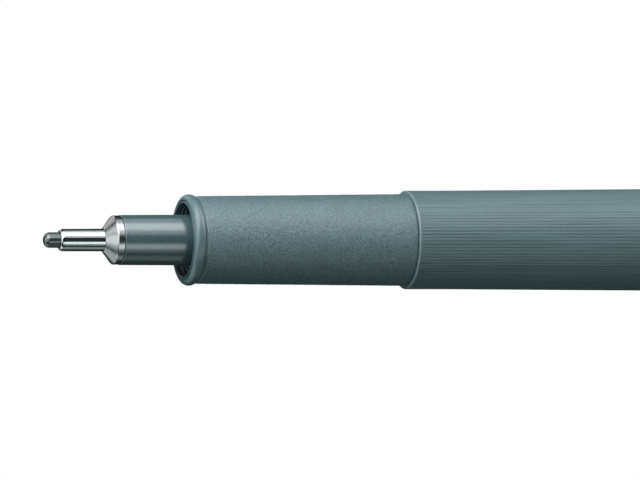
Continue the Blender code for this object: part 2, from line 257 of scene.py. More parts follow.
def rounded(corners):
    """An outline of (x, radius) points. A corner given as (x, radius, cut) is rounded off.

    The round starts and ends at the distance cut from the corner.
    """
    outline = []
    count = len(corners)
    for index, corner in enumerate(corners):
        here = Vector(corner[:2])
        if len(corner) == 2:
            outline.append(tuple(here))
            continue
        before = Vector(corners[index - 1][:2]) - here
        after = Vector(corners[(index + 1) % count][:2]) - here
        first = here + before.normalized() * corner[2]
        last = here + after.normalized() * corner[2]
        for step in range(ROUND_STEPS + 1):
            part = step / ROUND_STEPS
            curve = first * (1 - part) ** 2 + here * 2 * part * (1 - part) + last * part**2
            outline.append(tuple(curve))
    return outline


def quarter_round(start, end, steps, crest_last=True):
    """A quarter ellipse from start to end, without start, level at its crest."""
    points = []
    for step in range(1, steps + 1):
        turn = math.radians(90) * step / steps
        across, up = 1 - math.cos(turn), math.sin(turn)
        if not crest_last:
            across, up = up, across
        points.append((start[0] + (end[0] - start[0]) * across, start[1] + (end[1] - start[1]) * up))
    return points


def between(start, end, part):
    """The point at a part of the way from start to end."""
    return (start[0] + (end[0] - start[0]) * part, start[1] + (end[1] - start[1]) * part)


def spaced(outline, spacing):
    """The outline with points added, so that no stretch is longer than spacing."""
    points = [outline[0]]
    for start, end in zip(outline, outline[1:]):
        pieces = max(1, math.ceil(math.dist(start, end) / spacing))
        points += [between(start, end, piece / pieces) for piece in range(1, pieces + 1)]
    return points


def supported(outline):
    """The outline with a point just inside each end of a long stretch, which keeps its shading flat."""
    points = [outline[0]]
    for start, end in zip(outline, outline[1:]):
        length = math.dist(start, end)
        if length > 4 * FINE_EDGE:
            points += [between(start, end, FINE_EDGE / length), between(start, end, 1 - FINE_EDGE / length)]
        points.append(end)
    return points


def add_piece(node, mesh, material, rise=0.0):
    """Place a mesh on the pen's axis, or above it by rise, as the visible form of a CAD node."""
    mesh.shade_smooth()
    mesh.set_sharp_from_angle(angle=SHARP_ANGLE)
    mesh.materials.append(material)
    piece = bpy.data.objects.new(f"{node}_fine", mesh)
    bpy.context.scene.collection.objects.link(piece)
    piece.location = AXIS + Vector((0.0, 0.0, rise))
    bodies = frame["record"]["behaviour"]["bodies"]
    body = next(body for body, members in bodies.items() if node in members)
    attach(piece, body)
    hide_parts(node)


def turned(name, outline, segments=SMOOTH_SEGMENTS, relief=None):
    """A mesh turned round X from (x, radius) points. An outline that starts off the axis is a tube.

    relief(x, radius, turn) gives what is added to the radius. The turn starts at the top.
    """
    turn = np.arange(segments) * FULL_TURN / segments
    verts, rings = [], []
    for x, radius in outline:
        if radius < MERGE:
            rings.append([len(verts)])
            verts.append((x, 0.0, 0.0))
            continue
        radii = np.full(segments, radius)
        if relief:
            radii = radii + relief(x, radius, turn)
        rings.append(list(range(len(verts), len(verts) + segments)))
        verts += zip([x] * segments, radii * np.sin(turn), radii * np.cos(turn))
    faces = []
    pairs = list(zip(rings, rings[1:]))
    if outline[0][1] > MERGE:
        pairs.append((rings[-1], rings[0]))
    for near, far in pairs:
        for here in range(segments):
            there = (here + 1) % segments
            corners = [near[here % len(near)], near[there % len(near)]]
            corners += [far[there % len(far)], far[here % len(far)]]
            faces.append(list(dict.fromkeys(corners)))
    mesh = bpy.data.meshes.new(name)
    mesh.from_pydata(verts, [], faces)
    bm = bmesh.new()
    bm.from_mesh(mesh)
    bmesh.ops.recalc_face_normals(bm, faces=bm.faces)
    bm.to_mesh(mesh)
    bm.free()
    return mesh


# ---------------------------------------------------------------- reliefs


def fade(x, start, end, length):
    """1 between start and end, and a smooth fall to 0 over length inside each of them."""
    part = min(max(min(x - start, end - x) / length, 0.0), 1.0)
    return part * part * (3 - 2 * part)


def grooves(start, end, outer_radius):
    """Fine lengthwise grooves between two stations, on the outside only."""

    def relief(x, radius, turn):
        if radius < outer_radius(x) - BARREL_EDGE:
            return 0.0
        wave = 0.5 + 0.5 * np.cos(turn * GROOVES)
        return -GROOVE_DEPTH * fade(x, start, end, GROOVE_FADE) * wave**GROOVE_SHARPNESS

    return relief


def hash_noise(points, size, seed):
    """Smooth value noise at an array of points, from -1 to 1, with bumps of about size."""
    cells = points / size
    base = np.floor(cells).astype(np.int64)
    part = cells - base
    part = part * part * (3 - 2 * part)
    total = np.zeros(len(points))
    for corner in range(8):
        step = np.array([corner & 1, corner >> 1 & 1, corner >> 2 & 1])
        mixed = (base + step) @ HASH_STEPS + seed * HASH_SEED
        mixed = (mixed ^ mixed >> 13) * HASH_MIX & HASH_MASK
        value = (mixed ^ mixed >> 16) % HASH_LEVELS / ((HASH_LEVELS - 1) / 2) - 1
        total += value * np.prod(np.where(step, part, 1 - part), axis=1)
    return total


def grain(x, radius, turn):
    """The grip's spark-eroded grain, on its outside behind the lip."""
    strength = fade(x, LIP_END, GRIP_SHOULDER, GRAIN_FADE)
    if radius < GRIP_RADIUS or strength == 0:
        return 0.0
    points = np.stack([np.full_like(turn, x), radius * np.sin(turn), radius * np.cos(turn)], axis=1)
    coarse = hash_noise(points, GRAIN_SIZE, COARSE_SEED)
    fine = hash_noise(points, GRAIN_SIZE / 2, FINE_SEED)
    return GRAIN_DEPTH * strength * (COARSE_GRAIN * coarse + (1 - COARSE_GRAIN) * fine)


def barrel_radius(x):
    """Outer radius of the barrel at station x: straight, then a slow swell, then a parabola."""
    if x < SWELL_START:
        return BARREL_RADIUS
    if x < BELLY_START:
        return BARREL_RADIUS + SWELL_SLOPE * (x - SWELL_START)
    swell = BARREL_RADIUS + SWELL_SLOPE * (BELLY_START - SWELL_START)
    curve = SWELL_SLOPE / (2 * (BELLY_CENTRE - BELLY_START))
    return swell + curve * ((BELLY_CENTRE - BELLY_START) ** 2 - (x - BELLY_CENTRE) ** 2)


# ---------------------------------------------------------------- colours and finishes

PLASTIC_COLOUR = (0.048, 0.082, 0.089)
BARREL_COLOUR = (0.042, 0.076, 0.082)
HOLDER_COLOUR = (0.029, 0.052, 0.056)
# A lighter colour for the front edge of the barrel and cap: a painted highlight
EDGE_HIGHLIGHT_COLOUR = (0.075, 0.110, 0.115)
NIB_DARK = (0.002, 0.005, 0.005)
NIB_LIGHT = (0.010, 0.020, 0.019)
CORE_DARK = (0.012, 0.013, 0.018)
CORE_LIGHT = (0.050, 0.052, 0.065)
MILKY_DARK = (0.52, 0.55, 0.55)
MILKY_LIGHT = (0.60, 0.63, 0.62)
FILM_DARK = (0.82, 0.86, 0.87)
FILM_LIGHT = (0.92, 0.94, 0.95)
STEEL_COLOUR = (0.66, 0.67, 0.67)
FERRULE_COLOUR = (0.45, 0.46, 0.46)
WHITE = (1.0, 1.0, 1.0)
PLASTIC_IOR = 1.63
GLOSS_IOR = 2.25
FIBRE_IOR = 1.45
FILM_IOR = 1.48
HOLDER_ROUGHNESS = 0.23
CROWN_ROUGHNESS = 0.24
GRIP_ROUGHNESS = 0.37
POST_ROUGHNESS = 0.38
SATIN_ROUGHNESS = 0.56
EDGE_ROUGHNESS = 0.34
SKIN_DEPTH = 0.004 * MM
SKIN_SIZE = 0.1 * MM
GLOSS_SKIN_DEPTH = 0.0006 * MM
GLOSS_SKIN_SIZE = 0.3 * MM
PEBBLE_SIZE = 0.13 * MM
PEBBLE_DEPTH = 0.09 * MM
GRAIN_START = 0.3 * MM
# How dark the painted shade in the groove bottoms makes the colour
GROOVE_SHADE_PAINT = 0.38
METAL_WEAR = 0.84
MARK_STRETCH = 40


# ---------------------------------------------------------------- node materials


def add_node(tree, kind, inputs=None, **settings):
    """Add a node. Its inputs are values, or outputs of other nodes to link."""
    node = tree.nodes.new(kind)
    for key, value in settings.items():
        setattr(node, key, value)
    for key, value in (inputs or {}).items():
        if isinstance(value, bpy.types.NodeSocket):
            tree.links.new(value, node.inputs[key])
        else:
            node.inputs[key].default_value = value
    return node


def new_material(name, **shader_inputs):
    """A Principled material. Returns it, its tree, its shader and its object coordinates."""
    material = bpy.data.materials.new(name)
    material.use_nodes = True
    tree = material.node_tree
    shader = tree.nodes["Principled BSDF"]
    for key, value in shader_inputs.items():
        shader.inputs[key.replace("_", " ")].default_value = value
    place = add_node(tree, "ShaderNodeTexCoord").outputs["Object"]
    return material, tree, shader, place


def noise(tree, place, size, detail=3.0, stretch=1.0):
    """Noise with features of about size across, drawn out along the pen by stretch."""
    scale = (1 / (size * stretch), 1 / size, 1 / size)
    scaled = add_node(tree, "ShaderNodeMapping", {"Vector": place, "Scale": scale}).outputs["Vector"]
    inputs = {"Vector": scaled, "Scale": 1.0, "Detail": detail}
    return add_node(tree, "ShaderNodeTexNoise", inputs).outputs["Fac"]


def ramp(tree, factor, *stops):
    """A colour ramp between two (position, colour) stops."""
    node = add_node(tree, "ShaderNodeValToRGB", {"Fac": factor})
    for element, (position, colour) in zip(node.color_ramp.elements, stops):
        element.position = position
        element.color = (*colour, 1.0)
    return node.outputs["Color"]


def shades(tree, factor, colour, darkest, lightest, inner=(0.3, 0.7)):
    """A colour times darkest to lightest, over the inner range of a factor."""
    dark = tuple(part * darkest for part in colour)
    light = tuple(part * lightest for part in colour)
    return ramp(tree, factor, (inner[0], dark), (inner[1], light))


def blend(tree, factor, first, second, blend_type="MIX"):
    """Mix two colours. Each is a colour, or an output of another node."""
    inputs = {"Factor": factor}
    for key, colour in (("A", first), ("B", second)):
        inputs[key] = (*colour, 1.0) if isinstance(colour, tuple) else colour
    node = add_node(tree, "ShaderNodeMix", inputs, data_type="RGBA", blend_type=blend_type)
    return node.outputs["Result"]


def calculate(tree, operation, *values):
    """The result of a calculation on values and outputs of other nodes."""
    return add_node(tree, "ShaderNodeMath", dict(enumerate(values)), operation=operation).outputs[0]


def span(tree, factor, low, high, inner=(0.3, 0.7)):
    """Map the inner range of a factor to the range low to high."""
    inputs = {"Value": factor, "From Min": inner[0], "From Max": inner[1], "To Min": low, "To Max": high}
    return add_node(tree, "ShaderNodeMapRange", inputs).outputs["Result"]


def bump(tree, height, depth, strength=1.0):
    """A bump from a height between 0 and 1 that is depth deep."""
    inputs = {"Height": height, "Distance": depth, "Strength": strength}
    return add_node(tree, "ShaderNodeBump", inputs).outputs["Normal"]


def connect(tree, shader, colour, roughness, normal):
    """Link a colour, a roughness and a bump to the shader."""
    tree.links.new(colour, shader.inputs["Base Color"])
    tree.links.new(roughness, shader.inputs["Roughness"])
    tree.links.new(normal, shader.inputs["Normal"])


def plastic(name, colour, roughness, ior, skin_depth=SKIN_DEPTH, skin_size=SKIN_SIZE):
    """Moulded plastic: faint cloudy colour, uneven gloss and a fine skin."""
    material, tree, shader, place = new_material(name, IOR=ior)
    cloudy = shades(tree, noise(tree, place, 1.6 * MM, detail=4.0), colour, 0.90, 1.10)
    uneven = span(tree, noise(tree, place, 0.5 * MM), roughness - 0.04, roughness + 0.04)
    skin = bump(tree, noise(tree, place, skin_size, detail=2.0), skin_depth)
    connect(tree, shader, cloudy, uneven, skin)
    return material


def grained_plastic(name, colour, roughness, smooth_end):
    """The grip's plastic: pebbled grain behind the station smooth_end, with painted light on the pebbles'
    tops and painted shade in their hollows.
    """
    material, tree, shader, place = new_material(name, IOR=PLASTIC_IOR)
    along = add_node(tree, "ShaderNodeSeparateXYZ", {"Vector": place}).outputs["X"]
    grainy = span(tree, along, 0.0, 1.0, (smooth_end, smooth_end + GRAIN_START))
    pebbles = noise(tree, place, PEBBLE_SIZE, detail=1.0)
    # Painted light and shade: the colour follows the pebbles' height, lighter on their tops and darker in
    # their hollows
    painted_pebble_light = shades(tree, pebbles, colour, 0.58, 1.52, (0.38, 0.64))
    cloud = shades(tree, noise(tree, place, 2.2 * MM), WHITE, 0.93, 1.0)
    cloudy = blend(tree, 1.0, blend(tree, grainy, colour, painted_pebble_light), cloud, "MULTIPLY")
    sheen = span(tree, grainy, roughness - 0.04, roughness, (0.0, 1.0))
    raised = bump(tree, pebbles, PEBBLE_DEPTH, span(tree, grainy, 0.05, 1.0, (0.0, 1.0)))
    connect(tree, shader, cloudy, sheen, raised)
    return material


def grooved_plastic(name, colour, roughness, front):
    """Satin plastic with painted shade darkening the bottoms of its grooves, in streaks along the pen.

    Its front edge, at the station front, is worn glossy by rubbing, and its colour is lighter there as a
    painted highlight.
    """
    material, tree, shader, place = new_material(name, IOR=PLASTIC_IOR)
    axes = add_node(tree, "ShaderNodeSeparateXYZ", {"Vector": place}).outputs
    turn = calculate(tree, "ARCTAN2", axes["Y"], axes["Z"])
    wave = calculate(tree, "COSINE", calculate(tree, "MULTIPLY", turn, float(GROOVES)))
    streaks = noise(tree, place, 0.30 * MM, stretch=40.0)
    patchy = span(tree, streaks, 0.0, 1.0, (0.35, 0.62))
    # Painted shade: the colour is darker in the groove bottoms, in patches along the streaks
    painted_groove_shade = calculate(tree, "MULTIPLY", span(tree, wave, 0.0, 1.0, (-0.2, 1.0)), patchy)
    cloudy = shades(tree, noise(tree, place, 1.6 * MM, detail=4.0, stretch=6.0), colour, 0.95, 1.07)
    groove_shaded = blend(tree, painted_groove_shade, cloudy, tuple(part * GROOVE_SHADE_PAINT for part in colour))
    # Painted highlight: the front edge gets a lighter colour, and it is also glossier
    edge_gloss_and_highlight = span(tree, axes["X"], 1.0, 0.0, (front + 0.7 * BARREL_EDGE, front + BARREL_EDGE))
    satin = span(tree, streaks, roughness + 0.05, roughness - 0.05)
    polish = calculate(tree, "MULTIPLY", edge_gloss_and_highlight, roughness - EDGE_ROUGHNESS)
    uneven = calculate(tree, "SUBTRACT", satin, polish)
    skin = bump(tree, noise(tree, place, 0.12 * MM, detail=2.0, stretch=16.0), 0.028 * MM)
    connect(tree, shader, blend(tree, edge_gloss_and_highlight, groove_shaded, EDGE_HIGHLIGHT_COLOUR), uneven, skin)
    return material


def metal(name, colour, roughness, anisotropy, line_size, line_depth):
    """Machined steel with fine marks that run round the axis, and faint rubs along it."""
    material, tree, shader, place = new_material(
        name, Metallic=1.0, Anisotropic=anisotropy, Anisotropic_Rotation=0.25
    )
    tangent = add_node(tree, "ShaderNodeTangent", direction_type="RADIAL", axis="X")
    tree.links.new(tangent.outputs["Tangent"], shader.inputs["Tangent"])
    marks = noise(tree, place, MARK_STRETCH * line_size, detail=2.0, stretch=1 / MARK_STRETCH)
    rubs = noise(tree, place, 0.11 * MM, detail=2.0, stretch=9.0)
    marked = shades(tree, marks, colour, 0.93, 1.0, (0.35, 0.65))
    worn = blend(tree, 1.0, marked, shades(tree, rubs, WHITE, METAL_WEAR, 1.0, (0.36, 0.60)), "MULTIPLY")
    haze = span(tree, noise(tree, place, 0.4 * MM), roughness * 0.85, roughness * 1.15)
    connect(tree, shader, worn, haze, bump(tree, marks, line_depth))
    return material


def clip_steel(name):
    """Spring steel, brushed along the clip."""
    material, tree, shader, place = new_material(name, Metallic=1.0)
    brushed = noise(tree, place, 0.16 * MM, detail=2.0, stretch=60.0)
    shaded = shades(tree, brushed, STEEL_COLOUR, 0.88, 1.0, (0.35, 0.65))
    haze = span(tree, noise(tree, place, 0.8 * MM), 0.26, 0.34)
    connect(tree, shader, shaded, haze, bump(tree, brushed, 0.0008 * MM))
    return material


def fibre(name, dark, light, roughness, size, stretch, depth, ior=FIBRE_IOR):
    """Bonded fibre: streaks along the pen, matte and slightly fuzzy."""
    material, tree, shader, place = new_material(name, IOR=ior)
    strands = noise(tree, place, size, detail=4.0, stretch=stretch)
    streaked = ramp(tree, strands, (0.35, dark), (0.68, light))
    uneven = span(tree, strands, roughness + 0.1, roughness - 0.1)
    connect(tree, shader, streaked, uneven, bump(tree, strands, depth))
    return material


def natural_plastic(name):
    """Uncoloured, slightly milky plastic."""
    material, tree, shader, place = new_material(
        name, Subsurface_Weight=0.3, Subsurface_Scale=0.6 * MM
    )
    cloud = noise(tree, place, 1.2 * MM)
    milky = ramp(tree, cloud, (0.3, MILKY_DARK), (0.7, MILKY_LIGHT))
    skin = bump(tree, noise(tree, place, 0.15 * MM), 0.003 * MM)
    connect(tree, shader, milky, span(tree, cloud, 0.3, 0.4), skin)
    return material


def clear_film(name):
    """Thin clear wrapping film with faint lengthwise wrinkles."""
    material, tree, shader, place = new_material(name, Transmission_Weight=0.85, IOR=FILM_IOR)
    wrinkles = noise(tree, place, 0.5 * MM, stretch=8.0)
    clear = ramp(tree, wrinkles, (0.3, FILM_DARK), (0.7, FILM_LIGHT))
    connect(tree, shader, clear, span(tree, wrinkles, 0.08, 0.18), bump(tree, wrinkles, 0.01 * MM))
    return material


# ---------------------------------------------------------------- the pen's pieces


def make_nib():
    """The fibre point, with a blunt dome and faint lengthwise streaks."""
    tail = end_of("writing_nib")
    outline = [(0.0, 0.0)] + quarter_round((0.0, 0.0), (NIB_DOME, NIB_RADIUS), steps=16)
    outline = spaced(outline + [(tail, NIB_RADIUS)], NIB_RINGS) + [(tail, 0.0)]

    def streaks(x, radius, turn):
        depth = NIB_STREAK_DEPTH * radius / NIB_RADIUS
        drift = NIB_STREAK_DRIFT * np.sin(NIB_STREAK_WAVES * turn)
        return -depth * (0.5 + 0.5 * np.sin(turn * NIB_STREAKS + drift))

    material = fibre(
        "nib_fibre", NIB_DARK, NIB_LIGHT, roughness=0.24,
        size=0.14 * MM, stretch=6.0, depth=0.006 * MM, ior=GLOSS_IOR,
    )
    mesh = turned("writing_nib_fine", outline, relief=streaks)
    add_piece("writing_nib", mesh, material)


def make_sleeve():
    """The polished tube round the nib."""
    front, end = start_of("tip_sleeve"), end_of("tip_sleeve")
    outline = [(end, SLEEVE_BORE), (front + FINE_EDGE, SLEEVE_BORE), (front, SLEEVE_BORE + FINE_EDGE)]
    outline += [(front, SLEEVE_MOUTH_RADIUS)]
    outline += quarter_round(outline[-1], (front + SLEEVE_ROUND, SLEEVE_RADIUS), steps=16)
    outline += [(CONE_FRONT, SLEEVE_REAR_RADIUS), (end, SLEEVE_REAR_RADIUS)]
    material = metal(
        "polished_steel", STEEL_COLOUR, roughness=0.11, anisotropy=0.0,
        line_size=0.06 * MM, line_depth=0.00005 * MM,
    )
    mesh = turned("tip_sleeve_fine", supported(outline))
    add_piece("tip_sleeve", mesh, material)


def make_ferrule():
    """The turned cone, its bright chamfer, the band, and the shank in the holder."""
    end = end_of("tip_ferrule")
    bore = SLEEVE_REAR_RADIUS + PRESS_FIT
    band_end = HOLDER_FRONT - SEAT_GAP
    cone_end = (BAND_FRONT - BAND_CHAMFER, BAND_RADIUS - BAND_CHAMFER)
    corners = [(end, bore), (CONE_FRONT, bore, FINE_EDGE), (*cone_end, TINY_EDGE)]
    corners += [(BAND_FRONT, BAND_RADIUS, FINE_EDGE), (band_end, BAND_RADIUS, SMALL_EDGE)]
    corners += [(band_end, SHANK_RADIUS), (end, SHANK_RADIUS, EDGE)]
    material = metal(
        "turned_steel", FERRULE_COLOUR, roughness=0.25, anisotropy=0.4,
        line_size=0.05 * MM, line_depth=0.00008 * MM,
    )
    mesh = turned("tip_ferrule_fine", supported(rounded(corners)))
    add_piece("tip_ferrule", mesh, material)


def make_holder():
    """The glossy tube in the grip's mouth, its flange and its body."""
    end = end_of("nib_holder")
    corners = [(HOLDER_SOCKET_END, HOLDER_PASSAGE), (HOLDER_SOCKET_END, HOLDER_SOCKET)]
    corners += [(HOLDER_FRONT, HOLDER_SOCKET, SMALL_EDGE), (HOLDER_FRONT, HOLDER_RADIUS, HOLDER_EDGE)]
    corners += [(RECESS_FLOOR, HOLDER_REAR_RADIUS, FILLET), (RECESS_FLOOR, HOLDER_FLANGE_RADIUS, EDGE)]
    corners += [(FLANGE_END, HOLDER_FLANGE_RADIUS), (FLANGE_END, HOLDER_BODY_RADIUS)]
    corners += [(end, HOLDER_BODY_RADIUS, FILLET), (end, HOLDER_PASSAGE, EDGE)]
    material = plastic(
        "gloss_holder", HOLDER_COLOUR, HOLDER_ROUGHNESS, GLOSS_IOR, GLOSS_SKIN_DEPTH, GLOSS_SKIN_SIZE
    )
    mesh = turned("nib_holder_fine", supported(rounded(corners)))
    add_piece("nib_holder", mesh, material)


def make_grip():
    """The grained grip: inner edge line, rounded lip, taper, and faint rings inside the mouth."""
    crest = (GRIP_FRONT + LIP_CREST, LIP_RADIUS)
    lip_end = (LIP_END, CREASE_RADIUS)
    stop = FLANGE_END + SEAT_GAP
    end = end_of("grip_section")
    groove_floor = GRIP_FRONT + LIP_GROOVE_DEPTH
    mouth = [(RECESS_FLOOR, MOUTH_RADIUS), (GRIP_FRONT + EDGE, MOUTH_RADIUS)]
    taper = [(LIP_END + CREASE_END, GRIP_RADIUS), (GRIP_SHOULDER - GRIP_EDGE, GRIP_REAR_RADIUS)]
    outline = [(stop, GRIP_BORE), (stop, MOUTH_RADIUS)] + spaced(mouth, MOUTH_SPACING)
    outline += [(GRIP_FRONT + TINY_EDGE, MOUTH_RADIUS + TINY_EDGE), (GRIP_FRONT, MOUTH_RADIUS + SMALL_EDGE)]
    outline += [(GRIP_FRONT + TINY_EDGE, RIM_RADIUS - TINY_EDGE), (groove_floor, RIM_RADIUS)]
    outline += [(groove_floor, RIM_RADIUS + LIP_GROOVE_WIDTH)]
    outline += [(GRIP_FRONT + LIP_SETBACK, RIM_RADIUS + LIP_GROOVE_WIDTH + SMALL_EDGE)]
    outline += quarter_round(outline[-1], crest, steps=14)
    outline += quarter_round(crest, lip_end, steps=8, crest_last=False)
    outline += [(LIP_END + CREASE_WIDTH, CREASE_RADIUS), (LIP_END + CREASE_TOP, GRIP_RADIUS - TINY_EDGE)]
    outline += spaced(taper, GRAIN_SPACING)
    outline += [(GRIP_SHOULDER, GRIP_REAR_RADIUS - SMALL_EDGE), (GRIP_SHOULDER, SPIGOT_RADIUS)]
    outline += [(end, SPIGOT_RADIUS), (end, GRIP_BORE)]
    rings_front = GRIP_FRONT + MOUTH_RINGS_INSET
    ring_pitch = (RECESS_FLOOR - rings_front) / MOUTH_RINGS

    def relief(x, radius, turn):
        if abs(radius - MOUTH_RADIUS) > MERGE:
            return grain(x, radius, turn)
        wave = 0.5 - 0.5 * math.cos(FULL_TURN * (x - rings_front) / ring_pitch)
        return MOUTH_RING_DEPTH * wave * fade(x, rings_front, RECESS_FLOOR, MOUTH_RINGS_FADE)

    material = grained_plastic("grained_plastic", PLASTIC_COLOUR, GRIP_ROUGHNESS, LIP_END)
    mesh = turned("grip_section_fine", outline, GRIP_SEGMENTS, relief)
    add_piece("grip_section", mesh, material)


def groove_stations(first, last):
    """Stations for grooves from first to last, close together where the grooves fade."""
    count = round((last - first) / RING_SPACING)
    fade_in, fade_out = first + GROOVE_FADE, last - GROOVE_FADE
    stations = list(np.linspace(first, fade_in, FADE_STEPS))
    stations += list(np.linspace(fade_in, fade_out, count)[1:])
    stations += list(np.linspace(fade_out, last, FADE_STEPS)[1:])
    return stations


def make_barrel():
    """The grooved barrel, with a crisp front edge made bright by the lights and by a painted highlight."""
    tail = BARREL_END - BARREL_EDGE
    first, last = BARREL_FRONT + GROOVE_INSET, BARREL_END - GROOVE_INSET
    outline = [(BARREL_END, BORE_RADIUS), (BARREL_FRONT, BORE_RADIUS)]
    outline += [(BARREL_FRONT, BARREL_RADIUS - BARREL_EDGE)]
    outline += quarter_round(outline[-1], (BARREL_FRONT + BARREL_EDGE, BARREL_RADIUS), steps=4)
    outline += [(x, barrel_radius(x)) for x in groove_stations(first, last) + [tail]]
    rear_edge = (BARREL_END, barrel_radius(tail) - BARREL_EDGE)
    outline += quarter_round(outline[-1], rear_edge, steps=3, crest_last=False)
    relief = grooves(first, last, barrel_radius)
    material = grooved_plastic("satin_plastic", BARREL_COLOUR, SATIN_ROUGHNESS, BARREL_FRONT)
    mesh = turned("barrel_fine", outline, GROOVES * POINTS_PER_GROOVE, relief)
    add_piece("barrel", mesh, material)


def make_reservoir():
    """The fibre core, with a blind bore for the nib's tail and a groove for the breather."""
    start, end = start_of("ink_reservoir"), end_of("ink_reservoir")
    outline = [(CORE_BORE_END, 0.0), (CORE_BORE_END, CORE_BORE), (start, CORE_BORE)]
    outline += spaced([(start, CORE_RADIUS), (end, CORE_RADIUS)], RING_SPACING) + [(end, 0.0)]

    def breather_groove(x, radius, turn):
        if radius < CORE_RADIUS:
            return 0.0
        side = BREATHER_GROOVE_OFFSET * np.sin(turn)
        inside = (np.abs(side) < BREATHER_GROOVE_RADIUS) & (np.cos(turn) > 0)
        depth = np.sqrt(np.maximum(BREATHER_GROOVE_RADIUS**2 - side**2, 0.0))
        floor = BREATHER_GROOVE_OFFSET * np.cos(turn) - depth
        return np.where(inside, np.minimum(floor - radius, 0.0), 0.0)

    material = fibre(
        "inked_fibre", CORE_DARK, CORE_LIGHT, roughness=0.8,
        size=0.15 * MM, stretch=20.0, depth=0.03 * MM,
    )
    mesh = turned("ink_reservoir_fine", outline, relief=breather_groove)
    add_piece("ink_reservoir", mesh, material)


def make_film():
    """The clear film round the core."""
    start, end = start_of("reservoir_film"), end_of("reservoir_film")
    inner = FILM_RADIUS - FILM_THICKNESS
    outline = [(end, inner), (start, inner)]
    outline += spaced([(start, FILM_RADIUS), (end, FILM_RADIUS)], RING_SPACING)
    mesh = turned("reservoir_film_fine", outline)
    add_piece("reservoir_film", mesh, clear_film("clear_film"))


def make_breather():
    """The fine air tube in the core's groove."""
    start, end = start_of("breather_tube"), end_of("breather_tube")
    corners = [(end, TUBE_BORE), (start, TUBE_BORE)]
    corners += [(start, TUBE_RADIUS, SMALL_EDGE), (end, TUBE_RADIUS, SMALL_EDGE)]
    mesh = turned("breather_tube_fine", rounded(corners), THIN_SEGMENTS)
    material = natural_plastic("natural_plastic")
    add_piece("breather_tube", mesh, material, rise=TUBE_OFFSET)


def make_plug():
    """The rear plug: a spigot in the barrel and a ringed post for the cap."""
    start, end = start_of("rear_plug"), end_of("rear_plug")
    shoulder = BARREL_END + SEAT_GAP
    outline = [(PLUG_CAVITY_END, 0.0), (PLUG_CAVITY_END, PLUG_BORE), (start, PLUG_BORE)]
    outline += [(start, SPIGOT_RADIUS), (shoulder, SPIGOT_RADIUS), (shoulder, POST_RADIUS - BARREL_EDGE)]
    outline += quarter_round(outline[-1], (shoulder + BARREL_EDGE, POST_RADIUS), steps=4)
    outline += spaced([outline[-1], (end - POST_EDGE, POST_RADIUS)], GRAIN_SPACING)[1:]
    outline += quarter_round(outline[-1], (end, POST_RADIUS - POST_EDGE), steps=10, crest_last=False)
    outline += [(end - POST_DISH, POST_RADIUS - 2 * POST_EDGE), (end - POST_DISH, 0.0)]
    first, last = shoulder + 2 * POST_EDGE, end - 3 * POST_EDGE

    def rings(x, radius, turn):
        if radius < POST_RADIUS - MERGE:
            return 0.0
        wave = 0.5 - 0.5 * math.cos(FULL_TURN * POST_RINGS * (x - first) / (last - first))
        return -MOUTH_RING_DEPTH * wave**POST_RING_SHARPNESS * fade(x, first, last, POST_EDGE)

    material = plastic("post_plastic", PLASTIC_COLOUR, POST_ROUGHNESS, PLASTIC_IOR)
    mesh = turned("rear_plug_fine", outline, relief=rings)
    add_piece("rear_plug", mesh, material)


def cap_radius(x):
    """Outer radius of the cap at station x."""
    part = max(0.0, x - CAP_MOUTH - CAP_TAPER_START) / (CAP_SHELL_LENGTH - CAP_TAPER_START)
    return CAP_RADIUS + (CAP_END_RADIUS - CAP_RADIUS) * part


def cut_slot(shell):
    """Cut the slot for the clip's tongue through the cap's wall."""
    depth = 2 * (CAP_RADIUS - CAP_INNER_RADIUS)
    size = (CLIP_THICKNESS + 2 * SLOT_CLEARANCE, CLIP_WIDTH + 2 * SLOT_CLEARANCE, depth)
    middle = (CAP_RADIUS + CAP_INNER_RADIUS) / 2
    bm = bmesh.new()
    bmesh.ops.create_cube(bm, size=1.0)
    bmesh.ops.scale(bm, vec=size, verts=bm.verts)
    bmesh.ops.bevel(bm, geom=bm.edges, offset=EDGE, segments=2, affect="EDGES", profile=0.5)
    bmesh.ops.translate(bm, vec=(CAP_MOUTH + CLIP_ROOT, 0.0, middle), verts=bm.verts)
    bm.transform(CLIP_TURN)
    cutter_mesh = bpy.data.meshes.new("slot_cutter")
    bm.to_mesh(cutter_mesh)
    bm.free()
    cutter = bpy.data.objects.new("slot_cutter", cutter_mesh)
    item = bpy.data.objects.new("slotted", shell)
    for each in (cutter, item):
        bpy.context.scene.collection.objects.link(each)
    boolean = item.modifiers.new("clip_slot", "BOOLEAN")
    boolean.operation = "DIFFERENCE"
    boolean.solver = "EXACT"
    boolean.object = cutter
    evaluated = item.evaluated_get(bpy.context.evaluated_depsgraph_get())
    slotted = bpy.data.meshes.new_from_object(evaluated)
    for each in (cutter, item):
        bpy.data.objects.remove(each)
    return slotted


def make_cap():
    """The cap's shell: a plain band at the mouth, then the barrel's grooves, then a plain end."""
    step, end = CAP_MOUTH + CAP_STEP, CAP_MOUTH + CAP_SHELL_LENGTH
    first, last = CAP_MOUTH + CAP_BAND, CAP_MOUTH + CAP_PLAIN_END
    outline = [(step, CAP_BORE), (CAP_MOUTH + CAP_EDGE, CAP_BORE), (CAP_MOUTH, CAP_BORE + CAP_EDGE)]
    outline += [(CAP_MOUTH, CAP_RADIUS - CAP_EDGE)]
    outline += quarter_round(outline[-1], (CAP_MOUTH + CAP_EDGE, CAP_RADIUS), steps=6)
    outline += [(x, cap_radius(x)) for x in groove_stations(first, last)]
    outline += [(end - BARREL_EDGE, cap_radius(end)), (end, cap_radius(end) - BARREL_EDGE)]
    outline += [(end, CAP_INNER_RADIUS), (step, CAP_INNER_RADIUS)]
    relief = grooves(first, last, cap_radius)
    material = grooved_plastic("cap_plastic", BARREL_COLOUR, SATIN_ROUGHNESS, CAP_MOUTH)
    mesh = turned("cap_shell_fine", outline, GROOVES * POINTS_PER_GROOVE, relief)
    mesh = cut_slot(mesh)
    add_piece("cap_shell", mesh, material)


